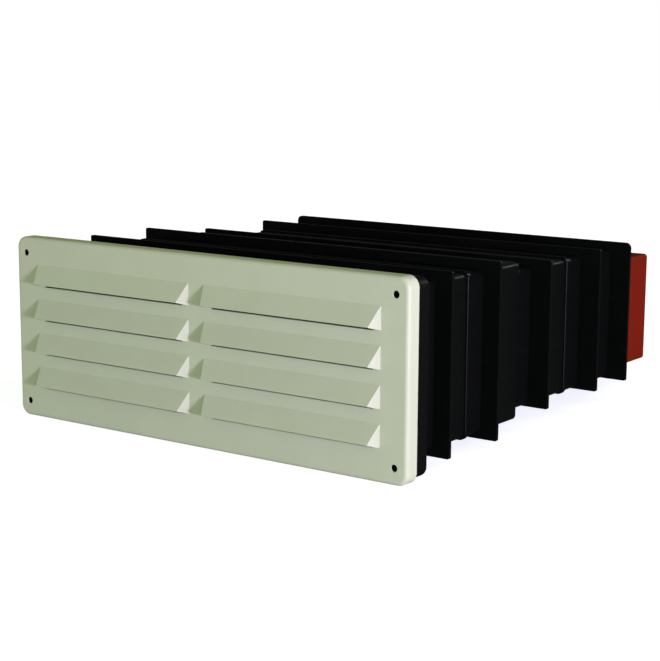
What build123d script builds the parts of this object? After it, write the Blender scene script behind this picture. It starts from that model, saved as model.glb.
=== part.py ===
"""Telescopic through-wall air vent: louvre plate, front frame, two nested sleeves and an air brick.

Axes: +X to the right as seen from the room, +Y into the wall, +Z up, in millimetres.
The origin is the centre of the vent on the finished face of the wall, where the front frame bears.
"""

from build123d import *
import os
from math import hypot

os.makedirs("parts", exist_ok=True)

# Louvre plate
plate_width = 262.0
plate_height = 101.5
plate_depth = 8.4
plate_wall = 2.0
plate_corner = 6.0
plate_edge = 2.2

# Hooded louvres of the plate
column_count = 2
column_margin = 16.0
column_gap = 10.0
hood_rows = 4
hood_margin_top = 14.95
hood_margin_bottom = 19.35
hood_land = 9.2
hood_proud = 6.6
hood_end_inset = 3.0
hood_foot = 1.9
hood_wall = 1.6
hood_edge = 0.6
cheek_wall = 1.2
slot_drop = 2.3

# Fixing screws
screw_margin_x = 7.5
screw_margin_z = 8.75
screw_hole = 3.8
screw_skin = 0.8
boss_diameter = 8.0
boss_gap = 0.2

# Front frame
frame_depth = 9.6
frame_inset_x = 0.6
frame_inset_z = 1.55
frame_wall = 2.2
spigot_reach = 14.0
spigot_wall = 2.0
spigot_gap = 0.3
locating_bar = 1.6
locating_rise = 2.0
locating_gap = 0.2
locating_margin_x = 31.0
locating_margin_z = 25.75

# Outer sleeve
cover_x = 18.0
cover_z = 7.25
tube_level = -1.5
outer_end = 117.0
tube_wall = 2.0
tube_corner = 2.8
end_lip = 3.0

# Inner sleeve
sleeve_step = 2.75
inner_start = 26.0
inner_end = 248.5
slide_gap = 0.5
guide_depth = 3.0

# Ribs that key the sleeves into the wall
rib_reach_x = 10.0
outer_rib_rise = 4.25
outer_rib_level = -0.6
inner_rib_rise = 2.75
inner_rib_level = 0.4
rib_thickness = 2.0
rib_corner = 1.0
outer_rib_fronts = (32.5, 79.5)
inner_rib_fronts = (134.5, 193.0)
tail_rib_front = 231.5
tail_rib_corner = 3.2

# Stiffening bead round each sleeve
bead_width = 3.0
bead_height = 1.1
bead_slope = 0.25
outer_bead_front = 62.8
inner_bead_front = 174.8

# Air brick
brick_gap_x = 1.0
brick_gap_top = 6.8
brick_gap_floor = 0.3
brick_start = 229.0
brick_depth = 60.0
brick_wall = 2.4
brick_face = 3.0
brick_corner = 2.0
grille_columns = 20
grille_rows = 3
grille_bar = 4.1
grille_margin_x = 10.5
grille_margin_z = 6.65

# Snap lug on each side of the air brick
tongue_width = 16.0
tongue_length = 28.0
tongue_thickness = 1.8
lug_height = 6.0
lug_length = 5.0
lug_flat = 1.0
lug_recess = 0.3
window_gap = 0.4

# Sizes of the plate and the frame that follow from the ones above
plate_back = -frame_depth
plate_front = plate_back - plate_depth
column_width = (plate_width - 2 * column_margin - (column_count - 1) * column_gap) / column_count
hood_pitch = (plate_height - hood_margin_top - hood_margin_bottom + hood_land) / hood_rows
hood_height = hood_pitch - hood_land
top_lip_height = plate_height / 2 - hood_margin_top - hood_height
screw_spacing_x = plate_width - 2 * screw_margin_x
screw_spacing_z = plate_height - 2 * screw_margin_z
frame_width = plate_width - 2 * frame_inset_x
frame_height = plate_height - 2 * frame_inset_z
frame_corner = plate_corner - frame_inset_x

# Sizes of the sleeves, which the plate covers, and of the brick, which the inner sleeve holds
outer_start = frame_wall - frame_depth
outer_width = plate_width - 2 * cover_x
outer_height = plate_height - 2 * cover_z
bore_width = outer_width - 2 * tube_wall
bore_height = outer_height - 2 * tube_wall
bore_corner = tube_corner - tube_wall
inner_width = bore_width - 2 * slide_gap
inner_height = bore_height - 2 * sleeve_step
duct_width = inner_width - 2 * tube_wall
duct_height = inner_height - 2 * tube_wall
rib_width = outer_width + 2 * rib_reach_x
spigot_width = bore_width - 2 * spigot_gap
spigot_height = bore_height - 2 * spigot_gap
brick_width = duct_width - 2 * brick_gap_x
brick_height = duct_height - brick_gap_top - brick_gap_floor
brick_level = tube_level + (brick_gap_floor - brick_gap_top) / 2
brick_end = brick_start + brick_depth


def across(depth, level=0):
    """Upright plane across the vent: local x is +X, local y is +Z, and its normal faces the room."""
    return Plane(origin=(0, depth, level), x_dir=(1, 0, 0), z_dir=(0, -1, 0))


def rounded(depth, width, height, corner, level=0):
    """Rounded rectangle drawn across the vent at the given depth, with its centre at the given level."""
    with BuildSketch(across(depth, level)) as outline:
        RectangleRounded(width, height, corner)
    return outline.sketch


def ring(depth, outside, inside):
    """Rounded rectangle with a rounded opening; each is (width, height, corner radius, level)."""
    with BuildSketch(across(depth)) as outline:
        for (width, height, corner, level), mode in ((outside, Mode.ADD), (inside, Mode.SUBTRACT)):
            with Locations((0, level)):
                RectangleRounded(width, height, corner, mode=mode)
    return outline.sketch


def screw_circles(depth, diameter):
    """The four screw positions, drawn across the vent at the given depth."""
    with BuildSketch(across(depth)) as circles:
        with GridLocations(screw_spacing_x, screw_spacing_z, 2, 2):
            Circle(diameter / 2)
    return circles.sketch


def bead(start, width, height, duct):
    """Low bead with sloped sides round a sleeve of the given outside size."""
    with BuildPart() as band:
        crest_corner = tube_corner + bead_height
        crest = (width + 2 * bead_height, height + 2 * bead_height, crest_corner, tube_level)
        extrude(ring(start, crest, duct), amount=-bead_width)
        rims = [face.outer_wire() for face in band.faces().filter_by(Axis.Y)]
        chamfer([edge for rim in rims for edge in rim.edges()], bead_slope)
    return band.part


outer_outline = (outer_width, outer_height, tube_corner, tube_level)
outer_bore = (bore_width, bore_height, bore_corner, tube_level)
inner_outline = (inner_width, inner_height, tube_corner, tube_level)
inner_duct = (duct_width, duct_height, bore_corner, tube_level)

# One hood, standing on the plate's front face, with its lip at z = 0 and its cheeks' feet lower
with BuildPart() as hood_form:
    with BuildSketch(Plane.YZ.offset(-column_width / 2)):
        with BuildLine():
            Polyline(
                (0, hood_height),
                (-hood_proud, 0),
                (0, -hood_foot),
                (plate_wall / 2, -hood_foot),
                (plate_wall / 2, hood_height),
                close=True,
            )
        make_face()
    extrude(amount=column_width)
    with BuildSketch(Plane.XY.offset(-hood_foot)):
        with BuildLine():
            Polyline(
                (-column_width / 2, 0),
                (hood_end_inset - column_width / 2, -hood_proud),
                (column_width / 2 - hood_end_inset, -hood_proud),
                (column_width / 2, 0),
                (column_width / 2, plate_wall / 2),
                (-column_width / 2, plate_wall / 2),
                close=True,
            )
        make_face()
    extrude(amount=hood_height + hood_foot, mode=Mode.INTERSECT)
    cheek_edges = hood_form.edges().filter_by(
        lambda edge: edge.bounding_box().size.Z > hood_height / 2
        and edge.bounding_box().size.Y > hood_proud / 2
    )
    fillet(cheek_edges, hood_edge)

# The air way behind one hood, whose slope lies one hood wall behind the outside one
slope_shift = hood_wall * hypot(hood_height, hood_proud) / hood_height
throat_back = plate_wall + hood_wall
throat_top = hood_height + (throat_back - slope_shift) * hood_height / hood_proud
throat_half = column_width / 2 - hood_end_inset - cheek_wall

with BuildPart() as hood_throat:
    with BuildSketch(Plane.YZ):
        with BuildLine():
            Polyline(
                (slope_shift - hood_proud, -slot_drop),
                (slope_shift - hood_proud, 0),
                (throat_back, throat_top),
                (throat_back, -slot_drop),
                close=True,
            )
        make_face()
    extrude(amount=throat_half, both=True)

hood_centres = [
    Location(
        (
            (column - (column_count - 1) / 2) * (column_width + column_gap),
            plate_front,
            top_lip_height - row * hood_pitch,
        )
    )
    for column in range(column_count)
    for row in range(hood_rows)
]

with BuildPart() as louvre_plate:
    # Dished moulding, rounded over round its front edge
    extrude(rounded(plate_back, plate_width, plate_height, plate_corner), amount=plate_depth)
    fillet(louvre_plate.faces().sort_by(Axis.Y)[0].edges(), plate_edge)
    hollow = rounded(
        plate_back,
        plate_width - 2 * plate_wall,
        plate_height - 2 * plate_wall,
        plate_corner - plate_wall,
    )
    extrude(hollow, amount=plate_depth - plate_wall, mode=Mode.SUBTRACT)
    # Hooded louvres, open underneath
    with Locations(*hood_centres):
        add(hood_form.part)
    with Locations(*hood_centres):
        add(hood_throat.part, mode=Mode.SUBTRACT)
    # Screw holes, and a seat for the frame's boss behind each of them
    seats = screw_circles(plate_back, boss_diameter + 2 * boss_gap)
    extrude(seats, amount=plate_depth - screw_skin, mode=Mode.SUBTRACT)
    extrude(screw_circles(plate_back, screw_hole), amount=plate_depth, mode=Mode.SUBTRACT)

with BuildPart() as front_frame:
    # Shallow tray, open towards the wall
    extrude(rounded(0, frame_width, frame_height, frame_corner), amount=frame_depth)
    recess = rounded(
        0,
        frame_width - 2 * frame_wall,
        frame_height - 2 * frame_wall,
        frame_corner - frame_wall,
    )
    extrude(recess, amount=frame_depth - frame_wall, mode=Mode.SUBTRACT)
    # Spigot that plugs into the mouth of the outer sleeve
    spigot_corner = bore_corner - spigot_gap
    spigot = rounded(plate_back, spigot_width, spigot_height, spigot_corner, tube_level)
    extrude(spigot, amount=-(frame_depth + spigot_reach))
    with BuildSketch(across(plate_back, tube_level)):
        Rectangle(spigot_width - 2 * spigot_wall, spigot_height - 2 * spigot_wall)
    extrude(amount=-(frame_depth + spigot_reach), mode=Mode.SUBTRACT)
    # Screw bosses run from the wall into their seats behind the plate's face
    boss_length = frame_depth + plate_depth - screw_skin - boss_gap
    extrude(screw_circles(0, boss_diameter), amount=boss_length)
    extrude(screw_circles(0, screw_hole), amount=boss_length, mode=Mode.SUBTRACT)
    # Bars that centre the louvre plate by the inside of its skirt
    bar_x = plate_width / 2 - plate_wall - locating_gap - locating_bar / 2
    bar_z = plate_height / 2 - plate_wall - locating_gap - locating_bar / 2
    with BuildSketch(across(plate_back)):
        with GridLocations(0, 2 * bar_z, 1, 2):
            Rectangle(plate_width - 2 * locating_margin_x, locating_bar)
        with GridLocations(2 * bar_x, 0, 2, 1):
            Rectangle(locating_bar, plate_height - 2 * locating_margin_z)
    extrude(amount=locating_rise)

with BuildPart() as outer_sleeve:
    extrude(ring(outer_start, outer_outline, outer_bore), amount=outer_start - outer_end)
    rib_height = outer_height + 2 * outer_rib_rise
    for rib_front in outer_rib_fronts:
        rib = ring(rib_front, (rib_width, rib_height, rib_corner, outer_rib_level), outer_bore)
        extrude(rib, amount=-rib_thickness)
    add(bead(outer_bead_front, outer_width, outer_height, outer_bore))
    # Lip that closes the end round the inner sleeve and stops its guide flange
    lip_opening = (
        inner_width + 2 * slide_gap,
        inner_height + 2 * slide_gap,
        tube_corner + slide_gap,
        tube_level,
    )
    extrude(ring(outer_end - end_lip, outer_outline, lip_opening), amount=-end_lip)

with BuildPart() as inner_sleeve:
    extrude(ring(inner_start, inner_outline, inner_duct), amount=inner_start - inner_end)
    # Guide flange that runs inside the outer sleeve
    guide = (inner_width, bore_height - 2 * slide_gap, bore_corner, tube_level)
    extrude(ring(inner_start, guide, inner_duct), amount=-guide_depth)
    rib_height = inner_height + 2 * inner_rib_rise
    for rib_front in inner_rib_fronts:
        rib = ring(rib_front, (rib_width, rib_height, rib_corner, inner_rib_level), inner_duct)
        extrude(rib, amount=-rib_thickness)
    # The last rib is rounder at its top corners
    with BuildSketch(across(tail_rib_front, inner_rib_level)) as tail_rib:
        Rectangle(rib_width, rib_height)
        fillet(tail_rib.vertices().group_by(Axis.Y)[0], rib_corner)
        fillet(tail_rib.vertices().group_by(Axis.Y)[-1], tail_rib_corner)
        with Locations((0, tube_level - inner_rib_level)):
            RectangleRounded(duct_width, duct_height, bore_corner, mode=Mode.SUBTRACT)
    extrude(amount=-rib_thickness)
    add(bead(inner_bead_front, inner_width, inner_height, inner_duct))
    # Window in each side for the air brick's snap lug
    lug_end = brick_start - tongue_length + 2 * lug_flat + lug_length
    window_centre = lug_end - lug_length / 2
    with BuildSketch(Plane.YZ):
        with Locations((window_centre, brick_level)):
            Rectangle(lug_length + 2 * window_gap, lug_height + 2 * window_gap)
    extrude(amount=inner_width, both=True, mode=Mode.SUBTRACT)

with BuildPart() as air_brick:
    with BuildSketch(across(brick_start, brick_level)):
        RectangleRounded(brick_width, brick_height, brick_corner)
    extrude(amount=-brick_depth)
    with BuildSketch(across(brick_start, brick_level)):
        Rectangle(brick_width - 2 * brick_wall, brick_height - 2 * brick_wall)
    extrude(amount=-(brick_depth - brick_face), mode=Mode.SUBTRACT)
    # Grille in the weather face, with bars of one width both ways
    grille_pitch_x = (brick_width - 2 * grille_margin_x + grille_bar) / grille_columns
    grille_pitch_z = (brick_height - 2 * grille_margin_z + grille_bar) / grille_rows
    with BuildSketch(across(brick_end - brick_face, brick_level)):
        with GridLocations(grille_pitch_x, grille_pitch_z, grille_columns, grille_rows):
            Rectangle(grille_pitch_x - grille_bar, grille_pitch_z - grille_bar)
    extrude(amount=-brick_face, mode=Mode.SUBTRACT)
    # Springy tongue on each side with a ramped snap lug
    tongue_front = brick_start - tongue_length
    tongue_x = brick_width / 2 - tongue_thickness
    with BuildSketch(Plane.XY.offset(brick_level - tongue_width / 2)):
        with Locations((tongue_x, tongue_front)):
            Rectangle(tongue_thickness, tongue_length + brick_wall, align=Align.MIN)
    extrude(amount=tongue_width)
    lug_front = lug_end - lug_length
    lug_tip = inner_width / 2 - lug_recess
    with BuildSketch(Plane.XY.offset(brick_level - lug_height / 2)):
        with BuildLine():
            Polyline(
                (tongue_x + tongue_thickness / 2, lug_front),
                (brick_width / 2, lug_front),
                (lug_tip, lug_end - lug_flat),
                (lug_tip, lug_end),
                (tongue_x + tongue_thickness / 2, lug_end),
                close=True,
            )
        make_face()
    extrude(amount=lug_height)
    mirror(about=Plane.YZ)

louvre_plate.part.label = "louvre_plate"
front_frame.part.label = "front_frame"
outer_sleeve.part.label = "outer_sleeve"
inner_sleeve.part.label = "inner_sleeve"
air_brick.part.label = "air_brick"

export_step(louvre_plate.part, "parts/louvre_plate.step")
export_step(front_frame.part, "parts/front_frame.step")
export_step(outer_sleeve.part, "parts/outer_sleeve.step")
export_step(inner_sleeve.part, "parts/inner_sleeve.step")
export_step(air_brick.part, "parts/air_brick.step")
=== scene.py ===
import math

import bpy
import numpy as np
from mathutils import Matrix, Vector


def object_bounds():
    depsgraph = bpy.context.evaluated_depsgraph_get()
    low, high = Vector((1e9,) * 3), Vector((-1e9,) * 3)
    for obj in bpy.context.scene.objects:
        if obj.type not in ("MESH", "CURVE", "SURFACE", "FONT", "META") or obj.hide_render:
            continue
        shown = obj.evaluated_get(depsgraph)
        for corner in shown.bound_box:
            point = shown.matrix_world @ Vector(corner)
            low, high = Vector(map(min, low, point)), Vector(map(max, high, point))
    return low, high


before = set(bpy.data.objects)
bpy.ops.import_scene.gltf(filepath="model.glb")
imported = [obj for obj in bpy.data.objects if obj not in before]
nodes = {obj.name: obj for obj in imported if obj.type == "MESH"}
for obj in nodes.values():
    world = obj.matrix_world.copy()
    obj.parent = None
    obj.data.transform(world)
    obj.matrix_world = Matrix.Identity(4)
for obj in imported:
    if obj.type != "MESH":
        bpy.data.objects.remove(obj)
cad_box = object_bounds()
MM = 0.001


def srgb(hex_colour):
    """The linear RGBA value of an sRGB colour written as six hex digits."""
    levels = np.array([int(hex_colour[i:i + 2], 16) for i in (0, 2, 4)]) / 255
    linear = np.where(levels <= 0.04045, levels / 12.92, ((levels + 0.055) / 1.055) ** 2.4)
    return (*linear.tolist(), 1.0)


def add(tree, kind, settings=None, **inputs):
    """Adds one shader node. settings are its properties. Each input is a socket's name, or _ and its number,
    with a value or the socket that feeds it."""
    node = tree.nodes.new(kind)
    for name, value in (settings or {}).items():
        setattr(node, name, value)
    for name, value in inputs.items():
        socket = node.inputs[int(name[1:])] if name[0] == "_" else node.inputs[name.replace("_", " ")]
        if isinstance(value, bpy.types.NodeSocket):
            tree.links.new(value, socket)
        else:
            socket.default_value = value
    return node


def empty_material(name):
    """A material without nodes, and its node tree."""
    material = bpy.data.materials.new(name)
    material.use_nodes = True
    material.node_tree.nodes.clear()
    return material, material.node_tree


def finish_material(tree, surface):
    """Connects the surface shader to the material's output."""
    output = add(tree, "ShaderNodeOutputMaterial")
    tree.links.new(surface, output.inputs["Surface"])


def moulded_plastic(name, body, shade, stretch, drift_mm, grain_mm, grain_depth_mm, roughness, ior, specular):
    """Injection-moulded plastic: a body colour that drifts to a near shade over drift_mm, drawn out along the
    axes where stretch is under 1, with a fine moulded grain. The roughness follows the drift between its two
    values."""
    material, tree = empty_material(name)
    place = add(tree, "ShaderNodeTexCoord").outputs["Object"]
    drawn = add(tree, "ShaderNodeMapping", Vector=place, Scale=stretch).outputs["Vector"]
    drift = add(tree, "ShaderNodeTexNoise", Vector=drawn, Scale=1 / (drift_mm * MM), Detail=3.0).outputs["Fac"]
    grain = add(tree, "ShaderNodeTexNoise", Vector=place, Scale=1 / (grain_mm * MM), Detail=2.0).outputs["Fac"]
    colour = add(tree, "ShaderNodeMix", {"data_type": "RGBA"}, _0=drift, _6=srgb(body), _7=srgb(shade))
    polish = add(tree, "ShaderNodeMapRange", Value=drift, To_Min=roughness[0], To_Max=roughness[1])
    relief = add(tree, "ShaderNodeBump", Height=grain, Strength=1.0, Distance=grain_depth_mm * MM)
    skin = add(
        tree,
        "ShaderNodeBsdfPrincipled",
        Base_Color=colour.outputs[2],
        Roughness=polish.outputs["Result"],
        IOR=ior,
        Specular_IOR_Level=specular,
        Normal=relief.outputs["Normal"],
    )
    finish_material(tree, skin.outputs["BSDF"])
    return material


def dress(node_name, material):
    """Gives a CAD node its material."""
    slots = nodes[node_name].data.materials
    slots.clear()
    slots.append(material)


def disc(name, radius, height, rings, spokes):
    """A flat round sheet: x = r cos t and y = r sin t at one height, with r and t on an even grid."""
    turn = np.linspace(0, 2 * math.pi, spokes, endpoint=False)
    r, t = np.meshgrid(np.linspace(0, radius, rings), turn, indexing="ij")
    points = np.stack([r * np.cos(t), r * np.sin(t), np.full_like(r, height)], axis=-1).reshape(-1, 3)
    i, j = np.meshgrid(np.arange(rings - 1), np.arange(spokes), indexing="ij")
    near = i * spokes + j
    far = near + spokes
    step = (j + 1) % spokes - j
    quads = np.stack([near, far, far + step, near + step], axis=-1).reshape(-1, 4)
    mesh = bpy.data.meshes.new(name)
    mesh.from_pydata(points.tolist(), [], quads.tolist())
    sheet = bpy.data.objects.new(name, mesh)
    bpy.context.scene.collection.objects.link(sheet)
    return sheet


def lamp(name, towards, distance, watts, colour, width):
    """A round soft lamp in the given direction from the vent's middle, shining back at it, sized in metres."""
    data = bpy.data.lights.new(name, "AREA")
    data.energy = watts
    data.color = srgb(colour)[:3]
    data.shape = "DISK"
    data.size = width
    light = bpy.data.objects.new(name, data)
    light.visible_camera = False
    bpy.context.scene.collection.objects.link(light)
    direction = Vector(towards).normalized()
    light.location = (cad_box[0] + cad_box[1]) / 2 + direction * distance
    light.rotation_mode = "QUATERNION"
    light.rotation_quaternion = direction.to_track_quat("Z", "Y")


# The camera stands where the photograph was taken from, found from the vent's own straight edges
IMAGE_SIDE = 661
FOCAL_PIXELS = 1628.3
CAMERA_PLACE = (0.5409, -0.6462, 0.1594)
CAMERA_TURN = 35.95
CAMERA_DIP = 10.13
CAMERA_ROLL = 0.31
camera_data = bpy.data.cameras.new("camera")
camera_data.lens = camera_data.sensor_width * FOCAL_PIXELS / IMAGE_SIDE
camera = bpy.data.objects.new("camera", camera_data)
bpy.context.scene.collection.objects.link(camera)
bpy.context.scene.camera = camera
camera.matrix_world = (
    Matrix.Translation(CAMERA_PLACE)
    @ Matrix.Rotation(math.radians(CAMERA_TURN), 4, "Z")
    @ Matrix.Rotation(math.radians(90 - CAMERA_DIP), 4, "X")
    @ Matrix.Rotation(math.radians(CAMERA_ROLL), 4, "Z")
)

# Cream ABS, injection-moulded in a finely blasted tool: a soft even sheen with a faint cloudy drift of tone
dress("louvre_plate", moulded_plastic(
    "cream_moulded_abs",
    body="CCD7BE",
    shade="C5D0B5",
    stretch=(1, 1, 1),
    drift_mm=22,
    grain_mm=0.7,
    grain_depth_mm=0.012,
    roughness=(0.36, 0.46),
    ior=1.53,
    specular=0.5,
))

# Black polypropylene of the frame: deep and satin, with faint clouds of sheen on its flat rim
dress("front_frame", moulded_plastic(
    "black_moulded_polypropylene",
    body="070908",
    shade="0A0D0B",
    stretch=(1, 1, 1),
    drift_mm=14,
    grain_mm=0.8,
    grain_depth_mm=0.015,
    roughness=(0.4, 0.52),
    ior=1.49,
    specular=0.13,
))

# Black polypropylene of the sleeves: a little glossier, with long faint draw marks from the mould's core
sleeve_plastic = moulded_plastic(
    "black_sleeve_polypropylene",
    body="070908",
    shade="0B0E0C",
    stretch=(1, 0.12, 1),
    drift_mm=6,
    grain_mm=0.8,
    grain_depth_mm=0.015,
    roughness=(0.32, 0.42),
    ior=1.49,
    specular=0.13,
)
dress("outer_sleeve", sleeve_plastic)
dress("inner_sleeve", sleeve_plastic)

# Terracotta polypropylene: matt, with streaks of pigment drawn up its sides
dress("air_brick", moulded_plastic(
    "terracotta_moulded_polypropylene",
    body="681304",
    shade="761807",
    stretch=(1, 1, 0.12),
    drift_mm=3,
    grain_mm=0.9,
    grain_depth_mm=0.03,
    roughness=(0.5, 0.62),
    ior=1.49,
    specular=0.08,
))

# White paper sweep under the vent: matt, with cloudy fibre, and lifted to white for the camera alone
FLOOR_RADIUS = 4.0
FIBRE_MM = 25
PAPER_GLOW = 0.84
PAPER_GLOW_COLOUR = (0.9, 0.91, 1, 1)
floor = disc("floor", FLOOR_RADIUS, cad_box[0].z, rings=9, spokes=64)
floor.visible_glossy = False
paper, tree = empty_material("white_paper_sweep")
seen = add(tree, "ShaderNodeLightPath").outputs["Is Camera Ray"]
place = add(tree, "ShaderNodeTexCoord").outputs["Object"]
fibre = add(tree, "ShaderNodeTexNoise", Vector=place, Scale=1 / (FIBRE_MM * MM)).outputs["Fac"]
tone = add(tree, "ShaderNodeMix", {"data_type": "RGBA"}, _0=fibre, _6=srgb("E9E9E7"), _7=srgb("EDEDEC"))
glow = add(tree, "ShaderNodeMath", {"operation": "MULTIPLY"}, _0=seen, _1=PAPER_GLOW)
sheet = add(
    tree,
    "ShaderNodeBsdfPrincipled",
    Base_Color=tone.outputs[2],
    Roughness=0.9,
    Specular_IOR_Level=0.0,
    Emission_Color=PAPER_GLOW_COLOUR,
    Emission_Strength=glow.outputs["Value"],
)
finish_material(tree, sheet.outputs["BSDF"])
floor.data.materials.append(paper)

# Soft room light, strong from the walls, and weak and yellow from the ceiling, between two heights of a
# direction's Z. The camera sees white in its place, and gloss sees a dim room
WALLS = (1.03, 1.12, 1.09, 1)
CEILING = (0.23, 0.26, 0.07, 1)
DIM_ROOM = (0.05, 0.05, 0.05, 1)
WHITE = (1, 1, 1, 1)
WALL_TOP = 0.15
CEILING_EDGE = 0.55
world = bpy.data.worlds.new("studio")
bpy.context.scene.world = world
world.use_nodes = True
tree = world.node_tree
tree.nodes.clear()
path = add(tree, "ShaderNodeLightPath")
direction = add(tree, "ShaderNodeTexCoord").outputs["Generated"]
upward = add(tree, "ShaderNodeSeparateXYZ", Vector=direction).outputs["Z"]
height = add(tree, "ShaderNodeMapRange", Value=upward, From_Min=WALL_TOP, From_Max=CEILING_EDGE).outputs["Result"]
room = add(tree, "ShaderNodeMix", {"data_type": "RGBA"}, _0=height, _6=WALLS, _7=CEILING).outputs[2]
glossy_ray = path.outputs["Is Glossy Ray"]
gloss = add(tree, "ShaderNodeMix", {"data_type": "RGBA"}, _0=glossy_ray, _6=room, _7=DIM_ROOM).outputs[2]
camera_ray = path.outputs["Is Camera Ray"]
backdrop = add(tree, "ShaderNodeMix", {"data_type": "RGBA"}, _0=camera_ray, _6=gloss, _7=WHITE).outputs[2]
sky = add(tree, "ShaderNodeBackground", Color=backdrop)
output = add(tree, "ShaderNodeOutputWorld")
tree.links.new(sky.outputs["Background"], output.inputs["Surface"])

# A low hard key on the right, a broad soft lamp at the vent's side, and a small one behind that glints on corners
lamp("key", (0.887, -0.462, 0.045), distance=1.6, watts=19.0, colour="EEDCFF", width=0.22)
lamp("side", (0.99, 0.05, 0.12), distance=1.2, watts=3.2, colour="FBE2FF", width=0.6)
lamp("rim", (0.35, 0.8, 0.42), distance=1.6, watts=1.9, colour="FFFFFF", width=0.12)

bpy.context.scene.view_settings.view_transform = "Standard"
